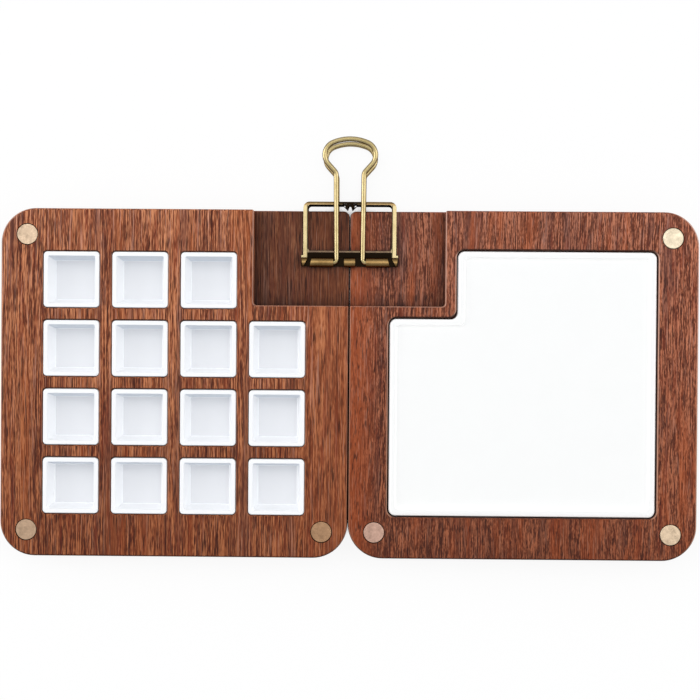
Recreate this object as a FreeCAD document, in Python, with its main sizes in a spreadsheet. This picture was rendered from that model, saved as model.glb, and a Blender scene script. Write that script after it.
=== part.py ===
"""A pocket watercolour palette, opened flat.

Two loose walnut halves lie edge to edge. The left one holds small square pans, the right one an
L-shaped mixing tray, and each has three magnets that meet when one half is laid over the other.
A skeleton spring clip with two wire handles bites on the thin ledges at the top of the seam.

Millimetres. X runs from the left half to the right one, Y towards the clip, Z out of the open
faces. The origin is the middle of the footprint, level with the lowest point of the clip.
"""
import FreeCAD
import Part
import math
import os
import Sketcher

# Driving sizes, in millimetres unless the note says otherwise.
SIZES = {
    # wooden halves
    "case_side": 100.0,        # side of each square half
    "case_thick": 11.0,        # thickness of each half
    "case_corner": 10.0,       # radius of the rounded corners
    "case_round": 0.7,         # rounding of the outer edges
    "seam_corner": 1.8,        # radius of the corner where ledge and seam meet
    "seam_gap": 0.12,          # gap between the two halves
    "ledge_side": 27.5,        # side of the square cut away for the clip
    "ledge_drop": 5.5,         # depth of that cut below the open face
    "ledge_corner": 1.0,       # radius of the cut's inner corner
    "ledge_round": 0.5,        # rounding of the ledge's outer edges
    "rim_bevel": 0.3,          # bevel round every pocket and round the cut
    # magnets
    "magnet_wide": 6.0,        # diameter
    "magnet_thick": 3.0,
    "magnet_round": 0.2,       # rounding of the magnet's edges
    "magnet_inset": 7.5,       # centre of a magnet from both nearest edges
    "magnet_clear": 0.15,      # gap round a magnet
    "magnet_sunk": 0.1,        # magnet below the wood's face
    # pans
    "pan_grid": 4,             # count of rows, and of columns
    "pan_margin": 12.2,        # first pan from the half's outer edge
    "pan_border": 12.5,        # last pan from the half's seam edge
    "pan_head": 12.4,          # first row from the half's top edge
    "pan_web": 3.7,            # wood between two pans
    "pan_corner": 1.1,
    "pan_high": 7.8,
    "pan_rim": 1.2,            # width of the rim
    "pan_floor": 1.0,          # thickness of the pan below its hollow
    "pan_draft": 1.0,          # how far each wall leans in from rim to floor
    "pan_hollow_corner": 0.5,  # upright corners of the hollow
    "pan_floor_round": 0.4,    # rounding between floor and walls
    "pan_rim_round": 0.35,     # rounding of the rim's outer edge
    "pan_clear": 0.15,         # gap between pan and pocket, each side
    "pan_sunk": 0.1,           # rim below the wood's face
    # mixing tray
    "tray_margin": 12.0,       # tray from the half's outer edge
    "tray_border": 11.65,      # tray from the half's seam edge
    "tray_head": 11.6,         # tray from the half's top edge
    "tray_foot": 12.4,         # tray from the half's bottom edge
    "tray_wall": 3.6,          # tray from the cut for the clip, at its notch
    "tray_corner": 1.9,
    "tray_high": 3.6,
    "tray_rim": 1.7,           # width of the rim
    "tray_deep": 0.8,          # depth of the basin
    "basin_corner": 1.4,       # upright corners of the basin
    "basin_round": 0.6,        # rounding between floor and walls
    "tray_rim_round": 0.9,     # rounding of the rim's outer edge
    "tray_clear": 0.45,        # gap between tray and pocket, each side
    "tray_sunk": 0.1,          # rim below the wood's face
    # spring clip
    "jaw_long": 17.6,          # barrel axis to the outside of the spine
    "spine_out": 2.7,          # outside of the spine beyond the wood's edge
    "clip_gap": 0.05,          # barrel above the ledge
    "spine_deep": 9.2,         # depth of the spine over its bends
    "sheet_thick": 0.55,
    "bend_radius": 0.9,        # outside of the bends between spine and jaws
    "frame_wide": 26.9,        # jaw over its two struts
    "frame_corner": 1.9,       # rounded top corners of a jaw
    "strut_wide": 1.25,
    "strip_high": 3.4,         # barrel axis to the lower edge of the window
    "window_corner": 0.9,
    "ear_out": 0.55,           # ear beyond the strut beside it
    "ear_high": 2.1,           # top of an ear above the barrel axis
    "ear_root": 2.0,           # width of an ear at the barrel's top edge
    "ear_lean": 0.5,           # how far an ear's tip lies inside its outer edge
    "slit_wide": 1.1,          # slit between an ear and the long barrel beside it
    "barrel_lean": 0.7,        # a long barrel's outer end, longer at its foot by this
    "slot_clear": 0.2,         # gap between a handle's leg and the long barrel beside it
    "stub_wide": 3.2,          # short barrel in the middle
    "lip_sunk": 0.025,         # cuts in the barrel stop this far below its bore
    "tab_wide": 4.4,           # pair of pointed tabs below the bend
    "tab_gap": 0.22,           # between the tabs, at their roots
    "tab_tips": 1.32,          # between the tabs' tips
    "tab_long": 1.25,
    "web_slot_wide": 1.4,      # pointed openings either side of the web in the spine
    "web_slot_high": 4.24,
    "web_wide": 1.3,           # web between them
    "nick_near": 0.8,          # nicks in a bend, beside the web: near end from the middle
    "nick_wide": 0.95,
    "nick_high": 0.42,
    # wire handles
    "wire_thick": 1.45,        # diameter
    "wire_clear": 0.12,        # gap round the wire in its barrel
    "wire_rest": 0.03,         # gap between the wire and the bend it leans on
    "wire_short": 0.5,         # end of the wire inside the barrel's end
    "wire_bend": 0.9,          # centreline radius where a leg leaves its barrel
    "leg_half": 3.78,          # leg from the middle, at the barrel
    "neck_half": 4.0,          # leg from the middle, at the neck
    "neck_angle": 42.0,        # degrees, slope of the shoulder from the leg's direction
    "neck_bend": 2.0,          # centreline radius at the neck
    "head_half": 7.3,          # widest part of the head from the middle, centreline
    "head_side": 3.85,         # centreline radius at the head's sides
    "head_rise": 4.55,         # head's widest part to its top
    "handle_long": 35.5,       # barrel axis to the head's top, centreline
}

OVERCUT = 1.0          # how far a cut runs on past the material
TINY = 1e-4

doc = FreeCAD.newDocument("Palette")
sheet = doc.addObject("Spreadsheet::Sheet", "Sizes")
for row, (alias, number) in enumerate(SIZES.items(), start=1):
    sheet.set(f"A{row}", alias)
    sheet.set(f"B{row}", str(number))
    sheet.setAlias(f"B{row}", alias)
doc.recompute()


class Size:
    """A number together with the spreadsheet expression that gives it."""

    def __init__(self, value, text):
        self.value = value
        self.text = text

    def __add__(self, other):
        other = as_size(other)
        return Size(self.value + other.value, f"({self.text} + {other.text})")

    def __sub__(self, other):
        other = as_size(other)
        return Size(self.value - other.value, f"({self.text} - {other.text})")

    def __mul__(self, other):
        other = as_size(other)
        return Size(self.value * other.value, f"({self.text} * {other.text})")

    def __truediv__(self, other):
        other = as_size(other)
        return Size(self.value / other.value, f"({self.text} / {other.text})")

    def __neg__(self):
        return Size(-self.value, f"(0 - {self.text})")


def as_size(number):
    """A plain number as a Size."""
    return number if isinstance(number, Size) else Size(float(number), repr(float(number)))


def cell(alias):
    """The sheet's cell of that name as a Size."""
    return Size(float(sheet.get(alias)), f"Sizes.{alias}")


# ---------------------------------------------------------------- bodies, sketches and features

def new_body(name):
    """An empty body whose label is the name of its node."""
    return doc.addObject("PartDesign::Body", name)


def place(body, x, y, z, axis=(1, 0, 0), angle=0.0):
    """Put a body at x, y, z, turned about an axis through its own origin."""
    body.Placement.Rotation = FreeCAD.Rotation(FreeCAD.Vector(*axis), angle)
    for letter, distance in zip("xyz", (x, y, z)):
        body.setExpression(f"Placement.Base.{letter}", as_size(distance).text)


def new_sketch(body, name, role="XY_Plane", level=None):
    """A sketch on one of the body's own planes, or at a level above it."""
    sketch = body.newObject("Sketcher::SketchObject", name)
    planes = [item for item in body.Origin.OriginFeatures if item.Role == role]
    sketch.AttachmentSupport = (planes[0], "")
    sketch.MapMode = "FlatFace"
    if level is not None:
        sketch.setExpression("AttachmentOffset.Base.z", as_size(level).text)
    return sketch


def fix_point(sketch, line, end, x=None, y=None):
    """Hold one end of a line at x, at y, or at both."""
    for kind, axis_line, distance in (("DistanceX", -2, x), ("DistanceY", -1, y)):
        if distance is None:
            continue
        if abs(distance.value) < TINY:
            sketch.addConstraint(Sketcher.Constraint("PointOnObject", line, end, axis_line))
            continue
        index = sketch.addConstraint(
            Sketcher.Constraint(kind, -1, 1, line, end, distance.value))
        sketch.setExpression(f"Constraints[{index}]", distance.text)


def draw_polygon(sketch, points):
    """A closed outline of straight lines through the points."""
    points = [(as_size(x), as_size(y)) for x, y in points]
    first = sketch.GeometryCount
    for (x, y), (next_x, next_y) in zip(points, points[1:] + points[:1]):
        sketch.addGeometry(Part.LineSegment(
            FreeCAD.Vector(x.value, y.value, 0), FreeCAD.Vector(next_x.value, next_y.value, 0)))
    for step, (x, y) in enumerate(points):
        before = first + (step - 1) % len(points)
        sketch.addConstraint(Sketcher.Constraint("Coincident", before, 2, first + step, 1))
        fix_point(sketch, first + step, 1, x, y)


def draw_square_outline(sketch, corners):
    """A closed outline of level and upright lines, with each corner sharp or rounded.

    Each corner is x, y and a radius, and a radius of None leaves it sharp.
    """
    corners = [(as_size(x), as_size(y), None if r is None else as_size(r)) for x, y, r in corners]
    count = len(corners)
    points = [FreeCAD.Vector(x.value, y.value, 0) for x, y, _ in corners]
    ways = [(points[(i + 1) % count] - points[i]).normalize() for i in range(count)]
    reach = [0.0 if radius is None else radius.value for _, _, radius in corners]
    first = sketch.GeometryCount
    for i in range(count):
        following = (i + 1) % count
        sketch.addGeometry(Part.LineSegment(
            points[i] + ways[i] * reach[i], points[following] - ways[i] * reach[following]))
        x, y, _ = corners[i]
        if abs(ways[i].y) < TINY:
            sketch.addConstraint(Sketcher.Constraint("Horizontal", first + i))
            fix_point(sketch, first + i, 1, y=y)
        else:
            sketch.addConstraint(Sketcher.Constraint("Vertical", first + i))
            fix_point(sketch, first + i, 1, x=x)
    for i, (_, _, radius) in enumerate(corners):
        line_in, line_out = first + (i - 1) % count, first + i
        if radius is None:
            sketch.addConstraint(Sketcher.Constraint("Coincident", line_in, 2, line_out, 1))
            continue
        join_rounded(sketch, points[i], ways[i - 1], ways[i], radius, (line_in, line_out))


def join_rounded(sketch, corner, way_in, way_out, radius, lines):
    """Join two square lines at a corner by an arc that touches both."""
    centre = corner - way_in * radius.value + way_out * radius.value
    start, finish = -way_out, way_in
    turns_left = way_in.cross(way_out).z > 0
    if not turns_left:
        start, finish = finish, start
    arc = sketch.addGeometry(Part.ArcOfCircle(
        Part.Circle(centre, FreeCAD.Vector(0, 0, 1), radius.value),
        math.atan2(start.y, start.x), math.atan2(finish.y, finish.x)))
    end_in, end_out = (1, 2) if turns_left else (2, 1)
    sketch.addConstraint(Sketcher.Constraint("Tangent", lines[0], 2, arc, end_in))
    sketch.addConstraint(Sketcher.Constraint("Tangent", arc, end_out, lines[1], 1))
    index = sketch.addConstraint(Sketcher.Constraint("Radius", arc, radius.value))
    sketch.setExpression(f"Constraints[{index}]", radius.text)


def draw_rectangle(sketch, low_x, low_y, high_x, high_y, radius=None):
    """A rectangle with all its corners alike."""
    draw_square_outline(sketch, [
        (low_x, low_y, radius), (high_x, low_y, radius),
        (high_x, high_y, radius), (low_x, high_y, radius)])


def draw_circle(sketch, x, y, radius):
    """A circle held by its centre and radius."""
    x, y, radius = as_size(x), as_size(y), as_size(radius)
    circle = sketch.addGeometry(Part.Circle(
        FreeCAD.Vector(x.value, y.value, 0), FreeCAD.Vector(0, 0, 1), radius.value))
    index = sketch.addConstraint(Sketcher.Constraint("Radius", circle, radius.value))
    sketch.setExpression(f"Constraints[{index}]", radius.text)
    fix_point(sketch, circle, 3, x, y)


def draw_chain(sketch, pieces, closed=False):
    """Lines and arcs laid end to end, joined where they meet."""
    first = sketch.GeometryCount
    for piece in pieces:
        sketch.addGeometry(piece)
    last = sketch.GeometryCount - 1
    for index in range(first, last):
        join_nearest(sketch, index, index + 1)
    if closed:
        join_nearest(sketch, last, first)


def join_nearest(sketch, one, other):
    """Make the ends at which two pieces meet coincide."""
    gaps = [(sketch.getPoint(one, a).distanceToPoint(sketch.getPoint(other, b)), a, b)
            for a in (1, 2) for b in (1, 2)]
    _, end, start = min(gaps)
    sketch.addConstraint(Sketcher.Constraint("Coincident", one, end, other, start))


def add_feature(body, kind, name, sketch, length=None, symmetric=False, upwards=False):
    """A pad or a pocket from a sketch, checked to change the volume the right way."""
    before = body.Shape.Volume if body.Tip else 0.0
    feature = body.newObject(f"PartDesign::{kind}", name)
    feature.Profile = sketch
    feature.Reversed = upwards
    if symmetric:
        feature.SideType = "Symmetric"
    if length is None:
        feature.Type = "ThroughAll"
    else:
        feature.setExpression("Length", as_size(length).text)
    doc.recompute()
    change = body.Shape.Volume - before
    if (kind == "Pad" and change <= 0) or (kind == "Pocket" and change >= 0):
        raise ValueError(f"{body.Label}: {name} changes the volume by {change:.4f}")
    return feature


def dress_edges(body, kind, name, chosen, size):
    """Round or bevel the edges of the body's tip that a test picks."""
    base = body.Tip
    names = [f"Edge{i}" for i, edge in enumerate(base.Shape.Edges, start=1) if chosen(edge)]
    if not names:
        raise ValueError(f"{body.Label}: {name} finds no edge")
    feature = body.newObject(f"PartDesign::{kind}", name)
    feature.Base = (base, names)
    feature.setExpression("Radius" if kind == "Fillet" else "Size", size.text)
    doc.recompute()
    return feature


def at_level(edge, level):
    """Whether an edge lies flat at a height."""
    box = edge.BoundBox
    return abs(box.ZMin - level.value) < TINY and abs(box.ZMax - level.value) < TINY


def hole_edges(shape, level):
    """The edges round the holes in the flat faces at a height."""
    found = []
    for face in shape.Faces:
        if not at_level(face, level):
            continue
        for wire in face.Wires:
            if not wire.isSame(face.OuterWire):
                found.extend(wire.Edges)
    return found


def among(edge, edges):
    """Whether an edge is one of the edges."""
    return any(edge.isSame(item) for item in edges)


# ---------------------------------------------------------------- places worked out from the sizes

HALF = cell("case_side") / 2
CASE_TOP = cell("case_thick")
LEDGE_TOP = CASE_TOP - cell("ledge_drop")
CASE_OUT = HALF + cell("seam_gap") / 2

PAN_PITCH = (cell("case_side") - cell("pan_margin") - cell("pan_border")
             + cell("pan_web")) / cell("pan_grid")
PAN_SIDE = PAN_PITCH - cell("pan_web")

BORE_RADIUS = cell("wire_thick") / 2 + cell("wire_clear")
BARREL_RADIUS = BORE_RADIUS + cell("sheet_thick")
BARREL_OUT = LEDGE_TOP / 2 + cell("clip_gap") + BARREL_RADIUS
SPINE_HALF = cell("spine_deep") / 2 - cell("bend_radius")
EAR_OUT = cell("frame_wide") / 2 + cell("ear_out")
BARREL_END = EAR_OUT - cell("ear_root") - cell("slit_wide")
WIRE_END = BARREL_END - cell("wire_short")

# The bend's centre as seen from the barrel axis: how far up, and how far out.
bend_up = cell("jaw_long").value - cell("bend_radius").value
bend_out = SPINE_HALF.value - BARREL_OUT.value
bend_away = math.hypot(bend_up, bend_out)
bend_bearing = math.degrees(math.atan2(bend_out, bend_up))


def slope_past_bend(offset):
    """Degrees a line through the barrel axis leans out, to pass the bend's centre at an offset."""
    return bend_bearing + math.degrees(math.asin(offset / bend_away))


jaw_slope = slope_past_bend((BORE_RADIUS + cell("bend_radius")).value)
wire_slope = slope_past_bend(
    (cell("bend_radius") + cell("wire_thick") / 2 + cell("wire_rest")).value)

wire_radius = cell("wire_thick").value / 2
handle_reach = cell("handle_long").value * math.cos(math.radians(wire_slope)) + wire_radius
handle_dip = cell("handle_long").value * math.sin(math.radians(wire_slope)) + wire_radius

BARREL_Y = HALF + cell("spine_out") - cell("jaw_long")
MIDDLE_Y = (BARREL_Y + handle_reach - HALF) / 2
LIFT = BARREL_OUT - LEDGE_TOP / 2 + handle_dip
CLIP_Z = LEDGE_TOP / 2 + LIFT


# ---------------------------------------------------------------- wooden halves

def build_half(name, seam):
    """One half, seam on its +X side if seam is 1, and on its -X side if it is -1."""
    body = new_body(name)
    blank = new_sketch(body, "Outline")
    corner = cell("case_corner")
    draw_square_outline(blank, [
        (-HALF * seam, -HALF, corner), (HALF * seam, -HALF, corner),
        (HALF * seam, HALF, cell("seam_corner")), (-HALF * seam, HALF, corner)])
    add_feature(body, "Pad", "Board", blank, CASE_TOP)
    bottom = as_size(0)
    dress_edges(body, "Fillet", "OuterEdges",
                lambda edge: at_level(edge, bottom) or at_level(edge, CASE_TOP),
                cell("case_round"))
    cut_ledge(body, seam)
    if seam > 0:
        cut_pan_pockets(body)
    else:
        cut_tray_pocket(body)
    rims = hole_edges(body.Tip.Shape, CASE_TOP)
    dress_edges(body, "Chamfer", "RimBevels",
                lambda edge: among(edge, rims) or on_ledge(edge, seam, CASE_TOP),
                cell("rim_bevel"))
    cut_magnet_bores(body, seam)
    return body


def on_ledge(edge, seam, level, margin=-TINY):
    """Whether a flat edge at a height lies over the ledge, by a margin from its two walls."""
    inner = (HALF - cell("ledge_side")).value + margin
    middle = edge.BoundBox.Center
    return at_level(edge, level) and middle.x * seam > inner and middle.y > inner


def cut_ledge(body, seam):
    """Sink the ledge that the clip bites on, and round its outer edges."""
    sketch = new_sketch(body, "LedgeOutline", level=CASE_TOP)
    inner, outer = HALF - cell("ledge_side"), HALF + OVERCUT
    draw_square_outline(sketch, [
        (inner * seam, inner, cell("ledge_corner")), (outer * seam, inner, None),
        (outer * seam, outer, None), (inner * seam, outer, None)])
    add_feature(body, "Pocket", "Ledge", sketch, cell("ledge_drop"))
    clear_of_walls = cell("ledge_corner").value
    dress_edges(body, "Fillet", "LedgeEdges",
                lambda edge: on_ledge(edge, seam, LEDGE_TOP, clear_of_walls),
                cell("ledge_round"))


def pan_place(row, column):
    """Centre of a pan in the left half's own frame."""
    first_x = cell("pan_margin") + PAN_SIDE / 2 - HALF
    first_y = HALF - cell("pan_head") - PAN_SIDE / 2
    return first_x + PAN_PITCH * (column - 1), first_y - PAN_PITCH * (row - 1)


def cut_pan_pockets(body):
    """A full grid of pockets below the top row, and a top row that stops short of the ledge."""
    grid = int(cell("pan_grid").value)
    reach = PAN_SIDE / 2 + cell("pan_clear")
    for name, row, across, down in (("TopRow", 1, grid - 1, 1),
                                    ("LowerRows", 2, grid, grid - 1)):
        x, y = pan_place(row, 1)
        sketch = new_sketch(body, f"{name}Outline", level=CASE_TOP)
        draw_rectangle(sketch, x - reach, y - reach, x + reach, y + reach,
                       cell("pan_corner") + cell("pan_clear"))
        pocket = add_feature(body, "Pocket", f"{name}Pocket", sketch,
                             cell("pan_high") + cell("pan_sunk"))
        repeat(body, f"{name}Pattern", pocket, sketch, across, down)


def repeat(body, name, pocket, sketch, across, down):
    """Repeat a pocket along +X and down along -Y at the pans' pitch."""
    pattern = body.newObject("PartDesign::LinearPattern", name)
    pattern.Originals = [pocket]
    pattern.Direction = (sketch, ["H_Axis"])
    pattern.Mode = "Extent"
    pattern.setExpression("Length", (PAN_PITCH * (across - 1)).text)
    pattern.Occurrences = across
    if down > 1:
        pattern.Direction2 = (sketch, ["V_Axis"])
        pattern.Reversed2 = True
        pattern.Mode2 = "Extent"
        pattern.setExpression("Length2", (PAN_PITCH * (down - 1)).text)
        pattern.Occurrences2 = down
    body.Tip = pattern
    doc.recompute()


def tray_corners(inset, radius):
    """The tray's L-shaped outline in the right half's own frame, drawn in by an inset."""
    side, seam_side = (HALF - cell(margin) - inset for margin in ("tray_margin", "tray_border"))
    low, high = cell("tray_foot") - HALF + inset, HALF - cell("tray_head") - inset
    notch = HALF - cell("ledge_side") - cell("tray_wall") - inset
    return [(-seam_side, low, radius), (side, low, radius), (side, high, radius),
            (-notch, high, radius), (-notch, notch, radius), (-seam_side, notch, radius)]


def cut_tray_pocket(body):
    """The pocket that the mixing tray drops into."""
    sketch = new_sketch(body, "TrayPocketOutline", level=CASE_TOP)
    clear = cell("tray_clear")
    draw_square_outline(sketch, tray_corners(-clear, cell("tray_corner") + clear))
    add_feature(body, "Pocket", "TrayPocket", sketch, cell("tray_high") + cell("tray_sunk"))


def magnet_places(seam):
    """Name and centre of each magnet in its half's own frame."""
    reach = HALF - cell("magnet_inset")
    return (("top", -reach * seam, reach), ("bottom", -reach * seam, -reach),
            ("seam", reach * seam, -reach))


def cut_magnet_bores(body, seam):
    """Three blind bores for the magnets."""
    sketch = new_sketch(body, "MagnetBores", level=CASE_TOP)
    for _, x, y in magnet_places(seam):
        draw_circle(sketch, x, y, cell("magnet_wide") / 2 + cell("magnet_clear"))
    add_feature(body, "Pocket", "Bores", sketch, cell("magnet_thick") + cell("magnet_sunk"))


# ---------------------------------------------------------------- what lies in the halves

def build_magnet(name):
    """A disc magnet, standing on its lower face."""
    body = new_body(name)
    sketch = new_sketch(body, "Disc")
    draw_circle(sketch, 0, 0, cell("magnet_wide") / 2)
    add_feature(body, "Pad", "Plate", sketch, cell("magnet_thick"))
    dress_edges(body, "Fillet", "Edges",
                lambda edge: edge.BoundBox.ZLength < TINY, cell("magnet_round"))
    return body


def build_pan(name):
    """A square pan with a flat rim and walls that lean in to a rounded floor."""
    body = new_body(name)
    side, high = PAN_SIDE / 2, cell("pan_high")
    sketch = new_sketch(body, "Outline")
    draw_rectangle(sketch, -side, -side, side, side, cell("pan_corner"))
    add_feature(body, "Pad", "Block", sketch, high)
    dress_edges(body, "Fillet", "RimEdge", lambda edge: at_level(edge, high),
                cell("pan_rim_round"))
    floor = cell("pan_floor")
    mouth = side - cell("pan_rim")
    sections = []
    for section, level, reach in (("Mouth", high, mouth),
                                  ("Floor", floor, mouth - cell("pan_draft"))):
        sketch = new_sketch(body, section, level=level)
        draw_rectangle(sketch, -reach, -reach, reach, reach, cell("pan_hollow_corner"))
        sections.append(sketch)
    before = body.Shape.Volume
    hollow = body.newObject("PartDesign::SubtractiveLoft", "Hollow")
    hollow.Profile = sections[0]
    hollow.Sections = [sections[1]]
    hollow.Ruled = True
    doc.recompute()
    if body.Shape.Volume >= before:
        raise ValueError(f"{name}: the hollow removes nothing")
    dress_edges(body, "Fillet", "FloorEdges", lambda edge: at_level(edge, floor),
                cell("pan_floor_round"))
    return body


def build_tray(name):
    """The mixing tray: an L-shaped slab with a shallow basin."""
    body = new_body(name)
    high = cell("tray_high")
    sketch = new_sketch(body, "Outline")
    draw_square_outline(sketch, tray_corners(as_size(0), cell("tray_corner")))
    add_feature(body, "Pad", "Slab", sketch, high)
    dress_edges(body, "Fillet", "RimEdge", lambda edge: at_level(edge, high),
                cell("tray_rim_round"))
    basin = new_sketch(body, "BasinOutline", level=high)
    draw_square_outline(basin, tray_corners(cell("tray_rim"), cell("basin_corner")))
    add_feature(body, "Pocket", "Basin", basin, cell("tray_deep"))
    floor = high - cell("tray_deep")
    dress_edges(body, "Fillet", "FloorEdges", lambda edge: at_level(edge, floor),
                cell("basin_round"))
    return body


# ---------------------------------------------------------------- spring clip

def build_spine(name):
    """The clip's flat spine, its outer face at y 0, with a waisted web in the middle."""
    body = new_body(name)
    sketch = new_sketch(body, "Plate", role="XZ_Plane")
    wide = cell("frame_wide") / 2 - cell("frame_corner")
    draw_rectangle(sketch, -wide, -SPINE_HALF, wide, SPINE_HALF)
    near, high = cell("web_wide") / 2, cell("web_slot_high") / 2
    far = near + cell("web_slot_wide")
    for hand in (1, -1):
        draw_polygon(sketch, [(near * hand, 0), (far * hand, -high), (far * hand, high)])
    add_feature(body, "Pad", "Sheet", sketch, cell("sheet_thick"))
    return body


def build_jaw(name):
    """A skeleton jaw about its barrel axis: struts, strip, rolled barrels and the bend above.

    +Y runs up to the spine and +Z away from the wood.
    """
    body = new_body(name)
    side_view = new_sketch(body, "SideView", role="YZ_Plane")
    draw_chain(side_view, jaw_side_view(), closed=True)
    draw_circle(side_view, 0, 0, BORE_RADIUS)
    add_feature(body, "Pad", "RolledSheet", side_view, EAR_OUT * 2, symmetric=True)
    cut_jaw_frame(body)
    cut_barrels(body)
    add_tabs(body)
    cut_nicks(body)
    return body


def jaw_side_view():
    """The sheet seen along the barrel: from the spine round the bend, down and round the barrel.

    The sketch's first axis is the body's Y and its second axis the body's Z.
    """
    slope = math.radians(jaw_slope)
    outward = FreeCAD.Vector(-math.sin(slope), math.cos(slope), 0)
    upward = FreeCAD.Vector(math.cos(slope), math.sin(slope), 0)
    bend = FreeCAD.Vector(bend_up, bend_out, 0)
    outer, inner = cell("bend_radius").value, (cell("bend_radius") - cell("sheet_thick")).value
    bore, barrel = BORE_RADIUS.value, BARREL_RADIUS.value
    up = FreeCAD.Vector(1, 0, 0)
    normal = FreeCAD.Vector(0, 0, 1)
    turn = math.pi / 2 + slope
    meets_barrel = upward * math.sqrt(barrel ** 2 - bore ** 2) - outward * bore
    roll_start = math.atan2(meets_barrel.y, meets_barrel.x)
    roll_end = 1.5 * math.pi + slope
    return [
        Part.LineSegment(bend + up * inner, bend + up * outer),
        Part.ArcOfCircle(Part.Circle(bend, normal, outer), 0, turn),
        Part.LineSegment(bend + outward * outer, meets_barrel),
        Part.ArcOfCircle(Part.Circle(FreeCAD.Vector(), normal, barrel), roll_start, roll_end),
        Part.LineSegment(-outward * barrel, bend + outward * inner),
        Part.ArcOfCircle(Part.Circle(bend, normal, inner), 0, turn),
    ]


def cut_jaw_frame(body):
    """Trim the sheet to its rounded frame and open the window."""
    wide, top = cell("frame_wide") / 2, cell("jaw_long")
    far, low = EAR_OUT + OVERCUT, cell("ear_high")
    high = top + OVERCUT
    level = -BARREL_OUT
    trim = new_sketch(body, "TrimOutline", level=level)
    draw_square_outline(trim, [
        (-far, low, None), (-wide, low, None), (-wide, top, cell("frame_corner")),
        (wide, top, cell("frame_corner")), (wide, low, None), (far, low, None),
        (far, high, None), (-far, high, None)])
    add_feature(body, "Pocket", "Trim", trim, upwards=True)
    window = new_sketch(body, "WindowOutline", level=level)
    inside = wide - cell("strut_wide")
    draw_rectangle(window, -inside, cell("strip_high"), inside, top - cell("bend_radius"),
                   cell("window_corner"))
    add_feature(body, "Pocket", "Window", window, upwards=True)


def cut_barrels(body):
    """Part the rolled edge into a short barrel, two long ones and two pointed ears."""
    level = BARREL_RADIUS + cell("clip_gap")
    stub = cell("stub_wide") / 2
    start = cell("leg_half") + cell("wire_thick") / 2 + cell("slot_clear")
    end_foot, ear_point = BARREL_END + cell("barrel_lean"), EAR_OUT - cell("ear_lean")
    sketch = new_sketch(body, "BarrelCuts", level=-(BORE_RADIUS + cell("lip_sunk")))
    for hand in (1, -1):
        draw_polygon(sketch, [
            (stub * hand, level), (stub * hand, -level),
            (start * hand, -level), (start * hand, level)])
        draw_polygon(sketch, [
            (BARREL_END * hand, level), (end_foot * hand, -level),
            (ear_point * hand, -level), ((BARREL_END + cell("slit_wide")) * hand, level)])
        draw_polygon(sketch, [
            (EAR_OUT * hand, level), (ear_point * hand, -level),
            ((EAR_OUT + OVERCUT) * hand, -level), ((EAR_OUT + OVERCUT) * hand, level)])
    add_feature(body, "Pocket", "Barrels", sketch, upwards=True)


def add_tabs(body):
    """Two pointed tabs that hang from the bend into the window."""
    outside = as_size(bend_out) + cell("bend_radius")
    root = cell("jaw_long") - cell("bend_radius") + cell("sheet_thick") / 2
    tip = cell("jaw_long") - cell("bend_radius") - cell("tab_long")
    near, point, far = cell("tab_gap") / 2, cell("tab_tips") / 2, cell("tab_wide") / 2
    sketch = new_sketch(body, "TabOutline", level=outside - cell("sheet_thick"))
    for hand in (1, -1):
        draw_polygon(sketch, [(near * hand, root), (point * hand, tip), (far * hand, root)])
    add_feature(body, "Pad", "Tabs", sketch, cell("sheet_thick"))


def cut_nicks(body):
    """Two nicks that carry the spine's pointed openings on into the bend."""
    near, far = cell("nick_near"), cell("nick_near") + cell("nick_wide")
    high = cell("jaw_long") - cell("sheet_thick")
    low = high - cell("nick_high")
    sketch = new_sketch(body, "NickOutline", level=-BARREL_OUT)
    for hand in (1, -1):
        draw_polygon(sketch, [(near * hand, high), (near * hand, low),
                              (far * hand, low), (far * hand, high)])
    add_feature(body, "Pocket", "Nicks", sketch, upwards=True)


def build_handle(name):
    """A wire handle about its barrel axis, lying in its own XY plane with its head towards +Y."""
    body = new_body(name)
    path = new_sketch(body, "Centreline")
    draw_chain(path, handle_centreline())
    section = new_sketch(body, "Section", role="YZ_Plane", level=-WIRE_END)
    draw_circle(section, 0, 0, cell("wire_thick") / 2)
    pipe = body.newObject("PartDesign::AdditivePipe", "Wire")
    pipe.Profile = section
    pipe.Spine = path
    doc.recompute()
    return body


def bend_between(before, corner, after, radius):
    """The arc that rounds a corner of the centreline, and the points where it starts and ends."""
    way_in, way_out = (corner - before).normalize(), (after - corner).normalize()
    turn = way_in.getAngle(way_out)
    start = corner - way_in * radius * math.tan(turn / 2)
    finish = corner + way_out * radius * math.tan(turn / 2)
    inward = (way_out - way_in).normalize()
    centre = corner + inward * radius / math.cos(turn / 2)
    middle = centre - inward * radius
    return start, finish, Part.Arc(start, middle, finish)


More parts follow.
